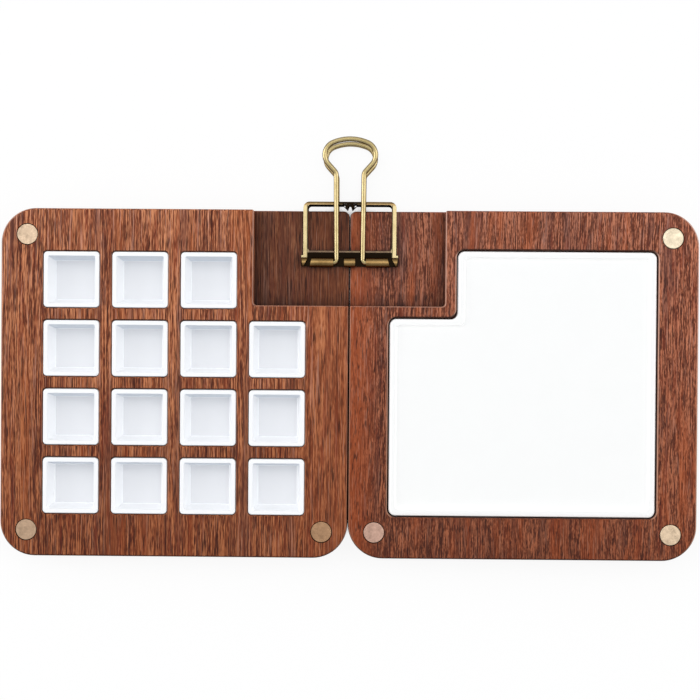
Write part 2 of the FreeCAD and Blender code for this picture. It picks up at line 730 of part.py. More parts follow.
def handle_centreline():
    """Lines and arcs from the wire's left end over the head to its right end."""
    side, crown, rise = (cell(size).value for size in ("head_side", "handle_long", "head_rise"))
    side_centre = FreeCAD.Vector(cell("head_half").value - side, crown - rise, 0)
    shoulder = math.radians(cell("neck_angle").value)
    shoulder_end = side_centre + FreeCAD.Vector(math.cos(shoulder), -math.sin(shoulder), 0) * side
    crown_radius = (side_centre.x ** 2 + rise ** 2 - side ** 2) / (2 * (rise - side))
    crown_centre = FreeCAD.Vector(0, crown - crown_radius, 0)
    outward = (side_centre - crown_centre).normalize()
    crown_start = crown_centre + outward * crown_radius
    neck_half = cell("neck_half").value
    neck = FreeCAD.Vector(
        neck_half, shoulder_end.y - (shoulder_end.x - neck_half) / math.tan(shoulder), 0)
    wire_end = FreeCAD.Vector(WIRE_END.value, 0, 0)
    leg_foot = FreeCAD.Vector(cell("leg_half").value, 0, 0)
    foot_start, foot_finish, foot_arc = bend_between(
        wire_end, leg_foot, neck, cell("wire_bend").value)
    neck_start, neck_finish, neck_arc = bend_between(
        leg_foot, neck, shoulder_end, cell("neck_bend").value)
    widest = side_centre + FreeCAD.Vector(side, 0, 0)
    right = [
        Part.LineSegment(wire_end, foot_start), foot_arc,
        Part.LineSegment(foot_finish, neck_start), neck_arc,
        Part.LineSegment(neck_finish, shoulder_end),
        Part.Arc(shoulder_end, widest, crown_start),
    ]
    left = [mirrored(piece) for piece in right]
    top = FreeCAD.Vector(0, crown, 0)
    crown_arc = Part.Arc(mirror_point(crown_start), top, crown_start)
    return left + [crown_arc] + right[::-1]


def mirror_point(point):
    """The point on the other side of the middle."""
    return FreeCAD.Vector(-point.x, point.y, 0)


def mirrored(piece):
    """A line or arc of the centreline, carried to the other side of the middle."""
    start, finish = piece.StartPoint, piece.EndPoint
    if isinstance(piece, Part.LineSegment):
        return Part.LineSegment(mirror_point(start), mirror_point(finish))
    middle = piece.value((piece.FirstParameter + piece.LastParameter) / 2)
    return Part.Arc(mirror_point(start), mirror_point(middle), mirror_point(finish))


# ---------------------------------------------------------------- assembly

nodes = []
SEAM_SIDES = (("left", 1), ("right", -1))

for side_name, seam_side in SEAM_SIDES:
    case_x = -CASE_OUT * seam_side
    case = build_half(f"{side_name}_case", seam_side)
    place(case, case_x, -MIDDLE_Y, LIFT)
    nodes.append(case)
    for magnet_name, magnet_x, magnet_y in magnet_places(seam_side):
        magnet = build_magnet(f"magnet_{side_name}_{magnet_name}")
        place(magnet, case_x + magnet_x, magnet_y - MIDDLE_Y,
              LIFT + CASE_TOP - cell("magnet_thick") - cell("magnet_sunk"))
        nodes.append(magnet)

pan_count = int(cell("pan_grid").value)
for pan_row in range(1, pan_count + 1):
    in_row = pan_count - 1 if pan_row == 1 else pan_count
    for pan_column in range(1, in_row + 1):
        pan = build_pan(f"pan_row{pan_row}_col{pan_column}")
        pan_x, pan_y = pan_place(pan_row, pan_column)
        place(pan, pan_x - CASE_OUT, pan_y - MIDDLE_Y,
              LIFT + CASE_TOP - cell("pan_high") - cell("pan_sunk"))
        nodes.append(pan)

tray = build_tray("mixing_tray")
place(tray, CASE_OUT, -MIDDLE_Y, LIFT + CASE_TOP - cell("tray_high") - cell("tray_sunk"))
nodes.append(tray)

spine = build_spine("clip_spine")
place(spine, 0, BARREL_Y - MIDDLE_Y + cell("jaw_long"), CLIP_Z)
nodes.append(spine)

for jaw_name, facing, turn_over in (("front", 1, 0.0), ("rear", -1, 180.0)):
    barrel_z = CLIP_Z + BARREL_OUT * facing
    jaw = build_jaw(f"clip_{jaw_name}_jaw")
    place(jaw, 0, BARREL_Y - MIDDLE_Y, barrel_z, axis=(0, 1, 0), angle=turn_over)
    handle = build_handle(f"clip_{jaw_name}_handle")
    place(handle, 0, BARREL_Y - MIDDLE_Y, barrel_z, angle=wire_slope * facing)
    nodes.extend([jaw, handle])

doc.recompute()


# ---------------------------------------------------------------- checks and export

for item in doc.Objects:
    if "Invalid" in item.State or "Error" in item.State:
        raise RuntimeError(f"{item.Name} failed: {item.State}")
for node in nodes:
    if node.Shape.isNull() or not node.Shape.isValid() or len(node.Shape.Solids) != 1:
        raise RuntimeError(f"{node.Label} is not one sound solid")

os.makedirs("parts", exist_ok=True)
for node in nodes:
    node.Shape.exportStep(f"parts/{node.Label}.step")

whole = Part.makeCompound([node.Shape for node in nodes]).BoundBox
print(f"{len(nodes)} nodes")
print(f"x {whole.XMin:.2f} to {whole.XMax:.2f}, y {whole.YMin:.2f} to {whole.YMax:.2f}, "
      f"z {whole.ZMin:.2f} to {whole.ZMax:.2f}")
print(f"jaw slope {jaw_slope:.2f}, handle slope {wire_slope:.2f} degrees")
print(f"barrel axis y {(BARREL_Y - MIDDLE_Y).value:.3f}, z {CLIP_Z.value:.3f} "
      f"+- {BARREL_OUT.value:.3f}; spine outside y "
      f"{(BARREL_Y - MIDDLE_Y + cell('jaw_long')).value:.3f}, half depth {SPINE_HALF.value:.3f}")
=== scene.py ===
"""Looks for an opened watercolour palette: two walnut halves, white pans and a white mixing tray,
worn nickel magnets and an antique brass spring clip, on a white table under soft light.

Metres, in the CAD model's own frame: X from the left half to the right one, Y towards the clip,
Z out of the open faces.
"""
import math

import bpy
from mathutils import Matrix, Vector


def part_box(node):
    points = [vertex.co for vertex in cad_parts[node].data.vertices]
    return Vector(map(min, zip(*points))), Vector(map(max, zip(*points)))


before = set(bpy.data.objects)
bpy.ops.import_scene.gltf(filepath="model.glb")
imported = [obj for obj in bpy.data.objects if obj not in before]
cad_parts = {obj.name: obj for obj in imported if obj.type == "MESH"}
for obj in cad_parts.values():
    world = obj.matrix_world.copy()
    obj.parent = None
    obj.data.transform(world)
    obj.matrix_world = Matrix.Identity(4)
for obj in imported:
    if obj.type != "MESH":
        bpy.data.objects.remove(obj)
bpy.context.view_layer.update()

MM = 0.001
CASE_LOW, CASE_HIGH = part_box("left_case")
FACE = CASE_HIGH.z                             # height of the open faces
LEDGE_SIDE = 27.5 * MM

# Camera: millimetres from the foot of the seam on the open faces, turns in degrees, and the lens.
CAMERA_PLACE = (5.757, 65.773, 464.374)
CAMERA_TURN = (-0.7208, 0.672, 0.4321)
SENSOR_WIDE = 36.0
LENS = 83.3

# World: how bright it is straight up and at the horizon, and its dim patches.
WORLD_TOP = 0.83
WORLD_SIDE = 0.42
WORLD_HIGH = 0.8                               # height of a direction that gets the full top
SKY_TINT = (0.97, 0.985, 1.0)
DIM_TOWARDS = (0.0, -0.02, 1.0)                # the dim patch overhead, round the camera
DIM_INNER, DIM_OUTER = 2.0, 16.0               # degrees from its middle
DIM_SHARE = 0.8
NEAR_SHARE = 0.55                              # the side that the camera's stand would dim
NEAR_WHOLLY = -0.8                             # a direction's Y where that side is dimmest

# Lamps: place in metres, width and length in metres, and watts.
LAMPS = {
    "far_softbox": ((0.1, 0.25, 1.15), (1.6, 0.8), 4.7),
    "left_strip": ((-1.0, 0.15, 0.4), (0.7, 1.2), 5.0),
    "right_strip": ((1.0, 0.15, 0.4), (0.6, 1.2), 2.5),
}

# Table: its side in metres and its white. FLOOR_LIFT is the share of its look that is plain white,
# which grows to all of it over these distances from the palette, so that no horizon shows.
FLOOR_SIDE = 3.0
FLOOR_WHITE = 0.93
FLOOR_LIFT = 0.88
FLOOR_LIFT_FROM, FLOOR_LIFT_TO = 0.25, 0.7

# Crowding: how far other surfaces are felt, then the openness at which the dark there is full and
# the one at which it ends. That dark is patina on the brass, and painted shade everywhere else.
TABLE_CROWDING = (14 * MM, 0.1, 0.16)
CORNER_CROWDING = (6 * MM, 0.4, 0.95)
SEAM_CROWDING = (1.5 * MM, 0.6, 0.98)
CREVICE_SHADE_CROWDING = (1.2 * MM, 0.2, 0.75)
PLASTIC_CROWDING = (2.5 * MM, 0.2, 0.6)
BRASS_CROWDING = (0.8 * MM, 0.15, 0.6)

# Tones are as the eye sees them, 0 to 255.
WOOD_PORE = (52, 20, 12)
# The pale of the painted highlights on the wood's slanted edges.
WOOD_EDGE_HIGHLIGHT = (208, 164, 146)
LEFT_WOOD = {
    "dark": (86, 38, 22), "middle": (148, 80, 50), "light": (212, 140, 98),
    "mauve": (112, 66, 54), "orange": (170, 90, 46), "pink": (216, 160, 138),
    "red": (140, 56, 30), "pore": WOOD_PORE,
}
RIGHT_WOOD = {
    "dark": (84, 40, 26), "middle": (123, 65, 43), "light": (188, 118, 88),
    "mauve": (100, 62, 54), "orange": (184, 91, 45), "pink": (190, 136, 118),
    "red": (124, 48, 26), "pore": WOOD_PORE,
}

# Where the main tones lie, from the grain's darkest, 0, to its palest, 1.
TONE_PLACES = {"dark": 0.08, "middle": 0.5, "light": 0.92}
# Bends of the grain, slow and quick: features to the metre along X, Y and Z.
SLOW_BENDS = (30, 11, 30)
QUICK_BENDS = (150, 110, 150)
GRAIN_ROUGHNESS = 0.6
# Grain: features to the metre across and along it, the noise's detail, and the share of each kind
# in the tone.
GRAIN = {
    "bands": (110, 4, 2.0, 0.65),
    "streaks": (480, 13, 2.0, 0.4),
    "fibres": (1500, 35, 1.0, 0.5),
    "hairs": (3800, 60, 1.0, 3.2),
    "flecks": (3800, 420, 1.0, 1.9),
}
# Tints laid over it in turn: the same three numbers, the noise at which a tint begins and at which
# it is full, and how strong it is.
TINTS = {
    "mauve": (260, 9, 2.0, 0.03, 0.16, 0.55),
    "orange": (190, 7, 2.0, 0.03, 0.16, 0.45),
    "pink": (2600, 60, 1.0, 0.08, 0.2, 0.5),
    "red": (820, 26, 2.0, 0.04, 0.16, 0.4),
    "pore": (3000, 150, 1.0, 0.07, 0.17, 0.75),
}
GLOW_SHARE = 0.6                               # strength of the orange wood beside the seam
EDGE_HIGHLIGHT_SHARE = 0.6                             # how pale the painted highlights on slanted edges are

# The wood's painted light and shade: where a change begins and ends, and its brightness at each.
FADE = (-60 * MM, 39 * MM, 0.62, 1.0)          # along Y, dimmer at the near side
FADE_POWERS = (1.0, 1.35, 1.8)                 # red, green and blue: the dim side is redder
BRIGHT_END = (70 * MM, 100 * MM, 0.95, 1.14)   # along X, brighter at the right half's end
SEAM_EDGE = (0.34 * MM, 0.24 * MM)             # the painted shade of the seam, from the seam's middle
SEAM_SHARE = 0.02                              # and the brightness left there
CORNER_SHARE = 0.5                             # painted shade in the ledge's corners
CREVICE_SHADE_SHARE = 0.25                              # painted shade in small corners
NEAR_EDGE_SHARE = 0.35                         # painted shade on edges that face the near side

PAN_WHITE = (244, 245, 247)
# Painted shade on the pans: on their floors, and on walls that face the near side and at their
# foot.
PAN_FLOOR = (229, 230, 233)
PAN_DIM = (221, 228, 237)
TRAY_WHITE = (244, 244, 243)
# Each magnet's own nickel tone with a painted reflection in it: brightest on the right half's top,
# darkest beside the left half's seam.
NICKEL_TONES_AND_REFLECTIONS = {
    "magnet_left_top": (212, 186, 158), "magnet_left_bottom": (190, 160, 133),
    "magnet_left_seam": (172, 135, 103), "magnet_right_top": (224, 209, 182),
    "magnet_right_bottom": (216, 192, 163), "magnet_right_seam": (194, 158, 140),
}
BRASS_BRIGHT = (214, 195, 147)
BRASS_DULL = (176, 154, 106)
# Painted shade on the brass where it faces straight out.
BRASS_CREST_SHADE = (126, 111, 62)
BARREL_BRIGHT = (156, 126, 80)
BARREL_DULL = (114, 87, 50)
BAR_BROWN = (156, 128, 86)
# A painted highlight along the top edge of the clip's black strip.
STRIP_EDGE_HIGHLIGHT = (112, 92, 76)
# Painted shade on the brass's sides, and the tint of the metal's edges.
BRASS_SHADE = (92, 68, 34)
# Patina in the brass's folds, and black where the sheet's masks say, partly painted shade.
PATINA_AND_SHADE = (24, 17, 10)

# The clip's wire and barrels. Then, out from its middle, where the struts' inner edges, the tabs'
# sides and the web lie, all three given painted shade.
WIRE_RADIUS = 0.725 * MM
BARREL_RADIUS = 1.395 * MM
STRUT_INNER = 12.2 * MM
TAB_SIDE = 2.1 * MM
WEB_BLACK, WEB_CLEAR = 3.4 * MM, 5.0 * MM
# Along Y: its black strip, from the barrel's axis, and its bar and tabs, from the spine's back.
STRIP_LOW, STRIP_HIGH = 1.42 * MM, 2.9 * MM
BAR_DEEP = 1.1 * MM
TAB_LOW, TAB_HIGH = 4.0 * MM, 0.5 * MM


def linear(tone):
    """A colour as the eye sees it, 0 to 255, as the linear colour a shader takes."""
    return tuple(
        (c / 255 / 12.92 if c <= 10 else ((c / 255 + 0.055) / 1.055) ** 2.4) for c in tone) + (1.0,)


class Graph:
    """A material's nodes, ending in one Principled shader."""

    def __init__(self, name):
        self.material = bpy.data.materials.new(name)
        self.material.use_nodes = True
        self.tree = self.material.node_tree
        self.tree.nodes.clear()
        self.shader = self.add("ShaderNodeBsdfPrincipled")
        output = self.add("ShaderNodeOutputMaterial")
        self.link(self.shader.outputs[0], output.inputs["Surface"])
        coordinates = self.add("ShaderNodeTexCoord")
        self.place = coordinates.outputs["Object"]
        self.normal = coordinates.outputs["Normal"]

    def add(self, kind, settings=None, **inputs):
        """A node, its settings and its inputs, each a plain value or another node's output."""
        node = self.tree.nodes.new(kind)
        for name, value in (settings or {}).items():
            setattr(node, name, value)
        for name, value in inputs.items():
            self.feed(node.inputs[name.replace("_", " ")], value)
        return node

    def link(self, source, target):
        self.tree.links.new(source, target)

    def feed(self, socket, value):
        """Give a socket a value, or link it to an output."""
        if isinstance(value, bpy.types.NodeSocket):
            self.link(value, socket)
        else:
            socket.default_value = value

    def set(self, **inputs):
        """Feed the Principled shader's own sockets."""
        for name, value in inputs.items():
            self.feed(self.shader.inputs[name.replace("_", " ")], value)

    def math(self, operation, first, second=0.0):
        node = self.add("ShaderNodeMath", {"operation": operation})
        self.feed(node.inputs[0], first)
        self.feed(node.inputs[1], second)
        return node.outputs[0]

    def product(self, first, *others):
        for other in others:
            first = self.math("MULTIPLY", first, other)
        return first

    def total(self, first, *others):
        for other in others:
            first = self.math("ADD", first, other)
        return first

    def highest(self, first, *others):
        for other in others:
            first = self.math("MAXIMUM", first, other)
        return first

    def absolute(self, value):
        return self.math("ABSOLUTE", value)

    def vector_math(self, operation, first, second):
        node = self.add("ShaderNodeVectorMath", {"operation": operation})
        self.feed(node.inputs[0], first)
        self.feed(node.inputs[1], second)
        return node.outputs[0]

    def spread(self, value, low, high, out_low=0.0, out_high=1.0):
        """A value's range low to high, stretched to out_low to out_high and held there."""
        node = self.add("ShaderNodeMapRange", {"clamp": True})
        for socket, number in zip(node.inputs[:5], (value, low, high, out_low, out_high)):
            self.feed(socket, number)
        return node.outputs[0]

    def dimmed(self, mask, least=0.0):
        """1 where the mask is 0, down to least where it is 1."""
        return self.spread(mask, 0.0, 1.0, 1.0, least)

    def between(self, value, low, high, soft):
        """1 from low to high, falling to 0 over a soft edge on each side."""
        return self.product(self.spread(value, low - soft, low),
                            self.spread(value, high + soft, high))

    def noise(self, vector, per_metre, detail=2.0, roughness=0.5, colour=False):
        """Noise with its own number of features to the metre along X, Y and Z."""
        scaled = self.vector_math("MULTIPLY", vector, per_metre)
        node = self.add("ShaderNodeTexNoise", Vector=scaled, Scale=1.0, Detail=detail,
                        Roughness=roughness)
        return node.outputs["Color" if colour else "Fac"]

    def mix(self, share, first, second, blend="MIX"):
        node = self.add("ShaderNodeMix", {"data_type": "RGBA", "blend_type": blend})
        self.feed(node.inputs[0], share)
        self.feed(node.inputs[6], first)
        self.feed(node.inputs[7], second)
        return node.outputs[2]

    def ramp(self, value, *stops):
        """Colours at places from 0 to 1."""
        node = self.add("ShaderNodeValToRGB", Fac=value)
        stop_list = node.color_ramp.elements
        while len(stop_list) < len(stops):
            stop_list.new(0.5)
        for stop, (position, colour) in zip(stop_list, stops):
            stop.position = position
            stop.color = colour
        return node.outputs["Color"]

    def bump(self, height, distance, strength=1.0, normal=None):
        node = self.add("ShaderNodeBump", Height=height, Distance=distance, Strength=strength)
        if normal is not None:
            self.link(normal, node.inputs["Normal"])
        return node.outputs["Normal"]

    def part(self, vector, axis):
        return self.add("ShaderNodeSeparateXYZ", Vector=vector).outputs[axis]

    def crevice(self, reach, low, high):
        """1 where other surfaces crowd in within reach, 0 in the open."""
        node = self.add("ShaderNodeAmbientOcclusion", {"samples": 8}, Distance=reach)
        return self.spread(node.outputs["AO"], low, high, 1.0, 0.0)


def named(*starts):
    """The CAD nodes whose names start so."""
    return [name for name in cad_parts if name.startswith(starts)]


def dress(nodes, material):
    """Give CAD nodes a finished material."""
    for node in nodes:
        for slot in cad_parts[node].material_slots:
            slot.material = material


# ---------------------------------------------------------------- wood

def bent_place(g, wander, ripple):
    """The place in the wood, bent by that many millimetres, slowly and quickly."""
    place = g.place
    for bends, most in ((SLOW_BENDS, wander), (QUICK_BENDS, ripple)):
        bend = g.vector_math("SUBTRACT", g.noise(g.place, bends, colour=True), (0.5, 0.5, 0.5))
        shift = g.vector_math("MULTIPLY", bend, (most * MM, 0, most * MM))
        place = g.vector_math("ADD", place, shift)
    return place


def painted_edge_highlights(g, x, y, highlights):
    """Two masks: the slanted edges that get a painted highlight, and all slanted edges."""
    tilt = g.absolute(g.part(g.normal, "Z"))
    slanted = g.product(g.spread(tilt, 0.3, 0.5), g.spread(tilt, 0.98, 0.85))
    sideways = g.spread(g.absolute(g.part(g.normal, "X")), 0.15, 0.45)
    ledge_foot = CASE_HIGH.y - LEDGE_SIDE
    step = g.product(0.5, g.spread(g.part(g.normal, "Y"), 0.15, 0.45),
                     g.between(y, ledge_foot - MM, ledge_foot + MM, 0.1 * MM))
    return g.product(slanted, g.highest(sideways, step), highlights(g, x, y)), slanted


def walnut(name, tones, wander, ripple, grain_long, ledge_share, ledge_calm, highlights, glow):
    """Oiled walnut, its grain along Y.

    wander and ripple bend the grain by that many millimetres, slowly and quickly. grain_long
    lengthens the fibres. ledge_share darkens the sunk ledge and ledge_calm evens out its grain.
    highlights draws the mask of the edges that get a painted highlight, and glow that of orange
    wood.
    """
    g = Graph(name)
    x, y, z = (g.part(g.place, axis) for axis in "XYZ")
    grain_place = bent_place(g, wander, ripple)

    def stripes(across, along, detail):
        """Noise about 0, this many features to the metre across and along the grain."""
        counts = (across, along / grain_long, across)
        return g.math("SUBTRACT", g.noise(grain_place, counts, detail, GRAIN_ROUGHNESS), 0.5)

    lying = g.spread(g.part(g.normal, "Z"), 0.3, 0.8)
    sunk = g.product(lying, g.spread(z, FACE - 2 * MM, FACE - 4 * MM))
    grain = {kind: stripes(*numbers[:3]) for kind, numbers in GRAIN.items()}
    relief = g.total(*(g.product(grain[kind], numbers[3]) for kind, numbers in GRAIN.items()))
    tone = g.total(0.5, g.product(relief, g.dimmed(sunk, 1.0 - ledge_calm)))
    colour = g.ramp(tone, *((place, linear(tones[key])) for key, place in TONE_PLACES.items()))
    for tint, (across, along, detail, begins, full, strength) in TINTS.items():
        mask = g.spread(stripes(across, along, detail), begins, full)
        share = g.product(mask, strength)
        if tint == "orange":
            share = g.highest(share, g.product(glow(g, x, y), GLOW_SHARE))
        elif tint == "pore":
            pores = mask
        colour = g.mix(share, colour, linear(tones[tint]))

    # Painted highlights on slanted edges that face sideways, and on the ledge's step.
    edge_highlight, slanted = painted_edge_highlights(g, x, y, highlights)
    colour = g.mix(g.product(edge_highlight, EDGE_HIGHLIGHT_SHARE), colour, linear(WOOD_EDGE_HIGHLIGHT))

    # Painted shade in the ledge's corners, the seam, small crevices and on edges facing the near
    # side; then the painted fade along X and Y.
    corner = g.product(g.crevice(*CORNER_CROWDING), sunk)
    seam = g.product(g.spread(g.absolute(x), *SEAM_EDGE), g.crevice(*SEAM_CROWDING))
    crevice_shade = g.crevice(*CREVICE_SHADE_CROWDING)
    near_side = g.product(slanted, g.spread(g.part(g.normal, "Y"), -0.2, -0.5))
    shade = g.product(g.spread(x, *BRIGHT_END), g.dimmed(sunk, ledge_share),
                      g.dimmed(corner, CORNER_SHARE), g.dimmed(seam, SEAM_SHARE),
                      g.dimmed(crevice_shade, CREVICE_SHADE_SHARE), g.dimmed(near_side, NEAR_EDGE_SHARE))
    fade = g.spread(y, *FADE)
    red, green, blue = (g.product(shade, g.math("POWER", fade, power)) for power in FADE_POWERS)
    shade = g.add("ShaderNodeCombineXYZ", X=red, Y=green, Z=blue).outputs[0]
    colour = g.mix(1.0, colour, shade, "MULTIPLY")
    height = g.math("SUBTRACT", g.total(grain["fibres"], grain["hairs"]), pores)
    g.set(Base_Color=colour, Roughness=g.spread(grain["streaks"], -0.15, 0.15, 0.42, 0.58),
          Specular_IOR_Level=g.spread(seam, 0.0, 1.0, 0.15, 0.0),
          Normal=g.bump(height, 0.05 * MM, 0.6))
    return g.material


def left_highlights(g, x, y):
    """The left half's edges outside the field of pans."""
    pans = [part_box(node) for node in named("pan_")]
    left, near = (min(low[axis] for low, high in pans) - MM for axis in (0, 1))
    right, far = (max(high[axis] for low, high in pans) + MM for axis in (0, 1))
    ledge_foot = CASE_HIGH.y - LEDGE_SIDE
    ledge = g.product(g.spread(x, -LEDGE_SIDE - MM, -LEDGE_SIDE - 0.6 * MM),
                      g.spread(y, ledge_foot - 1.5 * MM, ledge_foot - MM))
    over_pans = g.product(g.between(x, left, right, 0.2 * MM),
                          g.between(y, near, far, 0.2 * MM), g.dimmed(ledge))
    at_seam = g.spread(x, -2 * MM, -1 * MM, 1.0, 0.5)
    return g.product(at_seam, g.dimmed(over_pans, 0.25))


def right_highlights(g, x, y):
    """All the right half's edges, most of all those around the tray."""
    return g.spread(x, 12 * MM, 10 * MM, 1.45, 1.0)


def left_glow(g, x, y):
    """Orange wood beside the seam, in a wide strip."""
    return g.product(g.spread(x, -27 * MM, -4 * MM), 0.6)


def right_glow(g, x, y):
    """Orange wood beside the seam, in a narrower strip."""
    return g.spread(x, 9 * MM, 3 * MM)


# ---------------------------------------------------------------- plastic and metals

def white_plastic(name, tone, floor, dim, wall_glow, dim_wall_glow):
    """Smooth moulded plastic, with painted shade in tones of its own on its floor, its dim side and
    the foot of its walls; its sloping walls glow with painted light, wall_glow, or dim_wall_glow on
    that side.
    """
    g = Graph(name)
    uneven = g.noise(g.place, (160, 160, 160), detail=2)
    flat = g.spread(g.absolute(g.part(g.normal, "Z")), 0.9, 0.995)
    wall = g.dimmed(flat)
    deep = g.product(flat, g.spread(g.part(g.place, "Z"), FACE - 1.5 * MM, FACE - 3 * MM))
    wall_y = g.product(wall, g.part(g.normal, "Y"))
    dim_wall = g.spread(wall_y, -0.3, -0.8)
    # Painted shade: the floor's tone, then the dim tone on walls that face the near side and at the
    # foot of the walls.
    colour = g.mix(deep, linear(tone), linear(floor))
    near_wall = g.product(g.crevice(*PLASTIC_CROWDING), flat)
    colour = g.mix(g.highest(dim_wall, g.product(near_wall, 0.6)), colour, linear(dim))
    colour = g.mix(g.spread(uneven, 0.4, 0.6, 0.0, 0.04), colour, linear([0.96 * c for c in tone]))
    # The emission is painted light: a glow on the sloping walls.
    g.set(Base_Color=colour, Roughness=g.spread(uneven, 0.3, 0.7, 0.3, 0.38),
          Specular_IOR_Level=0.25, Emission_Color=(1.0, 1.0, 1.0, 1.0),
          Emission_Strength=g.product(wall, g.spread(dim_wall, 0.0, 1.0, wall_glow, dim_wall_glow)))
    return g.material


def worn_nickel(name, tone):
    """Nickel plate, scratched from meeting the other half's magnets."""
    g = Graph(name)
    blotch = g.noise(g.place, (800, 800, 800), detail=4, roughness=0.7)
    scratch = g.noise(g.place, (4200, 500, 900), detail=2, roughness=0.7)
    other = g.noise(g.place, (600, 3900, 900), detail=2, roughness=0.7)
    lines = g.highest(g.spread(scratch, 0.58, 0.7), g.spread(other, 0.6, 0.72))
    colour = g.mix(g.spread(blotch, 0.35, 0.7, 0.0, 0.6), linear(tone),
                   linear([0.76 * c for c in tone]))
    colour = g.mix(g.product(lines, 0.5), colour, linear([min(255, 1.12 * c) for c in tone]))
    g.set(Base_Color=colour, Metallic=1.0, Roughness=g.spread(blotch, 0.3, 0.7, 0.35, 0.55),
          Normal=g.bump(lines, 0.03 * MM, 0.5))
    return g.material


def antique_brass(name, bright, dull, black, sides, crest):
    """Antique brass plate: worn bright in patches, black in its folds and where black says.

    Painted shade browns the surface as its tilt takes the upright part of its normal below sides.
    crest is how far painted shade dulls it where it faces straight out.
    """
    g = Graph(name)
    patches = g.noise(g.place, (420, 420, 420), detail=4, roughness=0.65)
    specks = g.noise(g.place, (3400, 3400, 3400), detail=2)
    colour = g.mix(g.spread(patches, 0.42, 0.72, 0.0, 0.6), bright(g), dull(g))
    facing = g.absolute(g.part(g.normal, "Z"))
    # Painted shade on the sides, then on the crests.
    colour = g.mix(g.spread(facing, sides, sides - 0.45, 0.0, 0.75), colour, linear(BRASS_SHADE))
    colour = g.mix(g.spread(facing, 0.95, 0.99, 0.0, crest), colour, linear(BRASS_CREST_SHADE))
    fold = g.crevice(*BRASS_CROWDING)
    colour = g.mix(g.highest(black(g), g.product(fold, 0.8)), colour, linear(PATINA_AND_SHADE))
    rounded = g.add("ShaderNodeBevel", {"samples": 4}, Radius=0.12 * MM)
    g.set(Base_Color=colour, Metallic=1.0, Roughness=g.spread(specks, 0.3, 0.7, 0.22, 0.34),
          Specular_Tint=linear(BRASS_SHADE),
          Normal=g.bump(specks, 0.01 * MM, 0.3, rounded.outputs["Normal"]))
    return g.material


def barrel_axis():
    """A point on the front barrel's axis."""
    jaw_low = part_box("clip_front_jaw")[0]
    handle_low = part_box("clip_front_handle")[0]
    return Vector((0, jaw_low.y + BARREL_RADIUS, handle_low.z + WIRE_RADIUS))


def on_barrel(g):
    """1 on the rolled barrels."""
    y = g.part(g.place, "Y")
    axis = barrel_axis()
    return g.between(y, axis.y - 2 * BARREL_RADIUS, axis.y + BARREL_RADIUS, 0.1 * MM)


def sheet_bright(g):
    """Bright struts, browner barrels and spine, and a painted grey highlight along the black
    strip's top edge.
    """
    y = g.part(g.place, "Y")
    axis, top = barrel_axis(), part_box("clip_front_jaw")[1].y
    colour = g.mix(on_barrel(g), linear(BRASS_BRIGHT), linear(BARREL_BRIGHT))
    bar = g.spread(y, top - BAR_DEEP - 0.2 * MM, top - BAR_DEEP + 0.2 * MM)
    colour = g.mix(bar, colour, linear(BAR_BROWN))
    # A painted grey highlight along the black strip's top edge.
    out_x = g.absolute(g.part(g.place, "X"))
    strip_top = axis.y + STRIP_HIGH
    edge = g.product(g.between(y, strip_top, strip_top + 0.9 * MM, 0.1 * MM),
                     g.spread(out_x, STRUT_INNER, STRUT_INNER - 0.3 * MM))
    return g.mix(edge, colour, linear(STRIP_EDGE_HIGHLIGHT))


def sheet_dull(g):
    """Duller brass, browner on the barrels."""
    return g.mix(on_barrel(g), linear(BRASS_DULL), linear(BARREL_DULL))


def sheet_black(g):
    """Black: the strip above the barrels; the barrels' insides, as patina and painted shade; and
    painted shade on the inner faces of the sheet and the spine, the pointed tabs, the web and the
    window's inner edges.
    """
    x, y, z = g.absolute(g.part(g.place, "X")), g.part(g.place, "Y"), g.part(g.place, "Z")
    axis, top = barrel_axis(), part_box("clip_front_jaw")[1].y
    strip = g.product(g.between(y, axis.y + STRIP_LOW, axis.y + STRIP_HIGH, 0.1 * MM),
                      g.spread(x, STRUT_INNER + 0.1 * MM, STRUT_INNER))
    # Painted shade from here on: the window's inner edges, the barrels' insides (with their
    # patina), the sheet's inner faces, the tabs, the web and the spine's inside.
    edge = g.product(g.between(x, STRUT_INNER, STRUT_INNER + 0.2 * MM, 0.08 * MM),
                     g.between(y, axis.y + STRIP_LOW, top - BAR_DEEP - 0.1 * MM, 0.3 * MM))
    middle_z = (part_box("clip_front_jaw")[1].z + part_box("clip_rear_jaw")[0].z) / 2
    from_middle = g.math("SUBTRACT", z, middle_z)
    out_z = g.math("SUBTRACT", g.absolute(from_middle), axis.z - middle_z)
    facing_out = g.product(g.part(g.normal, "Z"), g.math("SIGN", from_middle))
    from_axis = g.total(g.product(out_z, facing_out),
                        g.product(g.math("SUBTRACT", y, axis.y), g.part(g.normal, "Y")))
    bore = g.product(on_barrel(g), g.spread(from_axis, 0.0, -0.3 * MM))
    inner_face = g.product(g.spread(facing_out, -0.2, -0.5),
                           g.spread(y, axis.y + BARREL_RADIUS, axis.y + STRIP_LOW))
    tabs = g.product(g.between(y, top - TAB_LOW, top - TAB_HIGH, 0.3 * MM),
                     g.spread(x, TAB_SIDE + 0.4 * MM, TAB_SIDE))
    web = g.spread(x, WEB_CLEAR, WEB_BLACK, 0.0, 0.85)
    web = g.product(web, g.spread(y, top - BAR_DEEP - 0.1 * MM, top - BAR_DEEP))
    inside = g.product(g.spread(g.part(g.normal, "Y"), -0.4, -0.7),
                       g.spread(y, top - BAR_DEEP - 0.3 * MM, top - BAR_DEEP))
    return g.highest(strip, g.product(edge, 0.8), bore, inner_face, tabs, web, inside)


# ---------------------------------------------------------------- camera, light and table

def add_camera():
    """The camera, straight over the open palette."""
    data = bpy.data.cameras.new("camera")
    data.sensor_width = SENSOR_WIDE
    data.lens = LENS
    data.clip_start = 0.01
    camera = bpy.data.objects.new("camera", data)
    seam_foot = Vector((0, CASE_LOW.y, FACE))
    camera.location = seam_foot + Vector(CAMERA_PLACE) * MM
    camera.rotation_euler = [math.radians(turn) for turn in CAMERA_TURN]
    bpy.context.scene.collection.objects.link(camera)
    bpy.context.scene.camera = camera


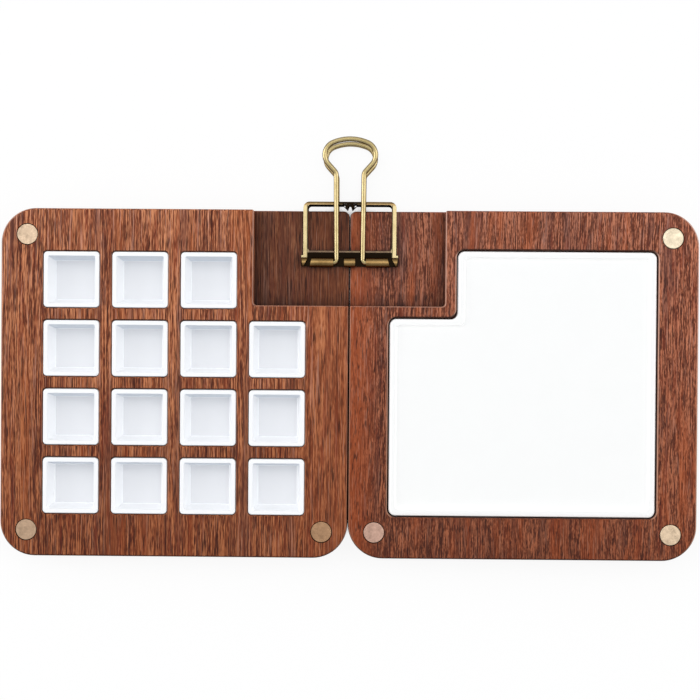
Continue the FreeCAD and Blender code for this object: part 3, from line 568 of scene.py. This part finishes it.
def add_world():
    """Soft light from all round, dimmer about the camera, and white to the eye."""
    world = bpy.data.worlds.new("studio")
    world.use_nodes = True
    tree = world.node_tree
    tree.nodes.clear()

    def stretched(value, *numbers):
        node = tree.nodes.new("ShaderNodeMapRange")
        for socket, number in zip(node.inputs[1:5], numbers):
            socket.default_value = number
        tree.links.new(value, node.inputs[0])
        return node.outputs[0]

    def times(first, second):
        node = tree.nodes.new("ShaderNodeMath")
        node.operation = "MULTIPLY"
        tree.links.new(first, node.inputs[0])
        tree.links.new(second, node.inputs[1])
        return node.outputs[0]

    direction = tree.nodes.new("ShaderNodeTexCoord").outputs["Generated"]
    parts = tree.nodes.new("ShaderNodeSeparateXYZ")
    tree.links.new(direction, parts.inputs[0])
    towards_dim = tree.nodes.new("ShaderNodeVectorMath")
    towards_dim.operation = "DOT_PRODUCT"
    tree.links.new(direction, towards_dim.inputs[0])
    towards_dim.inputs[1].default_value = Vector(DIM_TOWARDS).normalized()
    level = stretched(parts.outputs["Z"], 0.0, WORLD_HIGH, WORLD_SIDE, WORLD_TOP)
    dim = stretched(towards_dim.outputs["Value"], math.cos(math.radians(DIM_OUTER)),
                    math.cos(math.radians(DIM_INNER)), 1.0, DIM_SHARE)
    near = stretched(parts.outputs["Y"], NEAR_WHOLLY, 0.0, NEAR_SHARE, 1.0)
    sky = tree.nodes.new("ShaderNodeBackground")
    sky.inputs["Color"].default_value = (*SKY_TINT, 1.0)
    tree.links.new(times(times(level, dim), near), sky.inputs["Strength"])
    path = tree.nodes.new("ShaderNodeLightPath").outputs
    white = tree.nodes.new("ShaderNodeBackground")
    white.inputs["Color"].default_value = (1, 1, 1, 1)
    mixed = tree.nodes.new("ShaderNodeMixShader")
    tree.links.new(path["Is Camera Ray"], mixed.inputs[0])
    tree.links.new(sky.outputs[0], mixed.inputs[1])
    tree.links.new(white.outputs[0], mixed.inputs[2])
    output = tree.nodes.new("ShaderNodeOutputWorld")
    tree.links.new(mixed.outputs[0], output.inputs["Surface"])
    bpy.context.scene.world = world


def add_lamps():
    """A softbox beyond the clip and a low strip on each side that skims the grain."""
    for name, (place, (wide, long), power) in LAMPS.items():
        data = bpy.data.lights.new(name, "AREA")
        data.shape = "RECTANGLE"
        data.size, data.size_y = wide, long
        data.energy = power
        light = bpy.data.objects.new(name, data)
        light.location = place
        light.rotation_euler = (-Vector(place)).to_track_quat("-Z", "Y").to_euler()
        bpy.context.scene.collection.objects.link(light)


def add_table():
    """A white table that the palette leans on: its bottom edge, and the clip's rear handle.

    The eye and reflections see it mostly as plain white, except where walls crowd it: there it
    is painted black as shade, as in the seam.
    """
    handle_low, handle_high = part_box("clip_rear_handle")
    slope = math.atan2(handle_low.z - CASE_LOW.z, handle_high.y - CASE_LOW.y)
    bpy.ops.mesh.primitive_plane_add(size=FLOOR_SIDE)
    table = bpy.context.object
    table.name = "table"
    table.rotation_euler = (slope, 0, 0)
    table.location = (0, CASE_LOW.y, CASE_LOW.z)
    g = Graph("table_white")
    position = g.add("ShaderNodeNewGeometry").outputs["Position"]
    crowded = g.crevice(*TABLE_CROWDING)
    distance = g.add("ShaderNodeVectorMath", {"operation": "LENGTH"})
    g.feed(distance.inputs[0], position)
    lift = g.spread(distance.outputs["Value"], FLOOR_LIFT_FROM, FLOOR_LIFT_TO, FLOOR_LIFT, 1.0)
    path = g.add("ShaderNodeLightPath").outputs
    seen = g.highest(path["Is Camera Ray"], path["Is Glossy Ray"])
    # Painted shade: black where walls crowd the table.
    g.set(Base_Color=g.mix(crowded, (FLOOR_WHITE,) * 3 + (1.0,), (0.0, 0.0, 0.0, 1.0)),
          Roughness=0.9)
    g.shader.inputs["Specular IOR Level"].default_value = 0.0
    white = g.add("ShaderNodeEmission")
    mixed = g.add("ShaderNodeMixShader")
    g.feed(mixed.inputs[0], g.product(seen, g.dimmed(crowded), lift))
    g.link(g.shader.outputs[0], mixed.inputs[1])
    g.link(white.outputs[0], mixed.inputs[2])
    output = next(node for node in g.tree.nodes if node.type == "OUTPUT_MATERIAL")
    g.link(mixed.outputs[0], output.inputs["Surface"])
    table.data.materials.append(g.material)


# ---------------------------------------------------------------- the palette

bpy.context.scene.view_settings.view_transform = "Standard"
add_camera()
add_world()
add_lamps()
add_table()

dress(["left_case"],
      walnut("walnut_straight", LEFT_WOOD, wander=2.5, ripple=0.15, grain_long=1.0,
             ledge_share=0.46, ledge_calm=0.5, highlights=left_highlights, glow=left_glow))
dress(["right_case"],
      walnut("walnut_figured", RIGHT_WOOD, wander=5.0, ripple=0.3, grain_long=0.5,
             ledge_share=0.95, ledge_calm=0.1, highlights=right_highlights, glow=right_glow))
dress(named("pan_"),
      white_plastic("pan_white", PAN_WHITE, floor=PAN_FLOOR, dim=PAN_DIM, wall_glow=0.09,
                    dim_wall_glow=0.0))
dress(["mixing_tray"],
      white_plastic("tray_white", TRAY_WHITE, floor=TRAY_WHITE, dim=TRAY_WHITE, wall_glow=0.17,
                    dim_wall_glow=0.24))
for magnet, magnet_tone_and_reflection in NICKEL_TONES_AND_REFLECTIONS.items():
    dress([magnet], worn_nickel(f"{magnet}_nickel", magnet_tone_and_reflection))
dress(["clip_spine", "clip_front_jaw", "clip_rear_jaw"],
      antique_brass("brass_sheet", sheet_bright, sheet_dull, sheet_black, sides=0.75, crest=0.0))
dress(["clip_front_handle", "clip_rear_handle"],
      antique_brass("brass_wire", lambda g: linear(BRASS_BRIGHT), lambda g: linear(BRASS_DULL),
                    lambda g: 0.0, sides=0.85, crest=0.7))
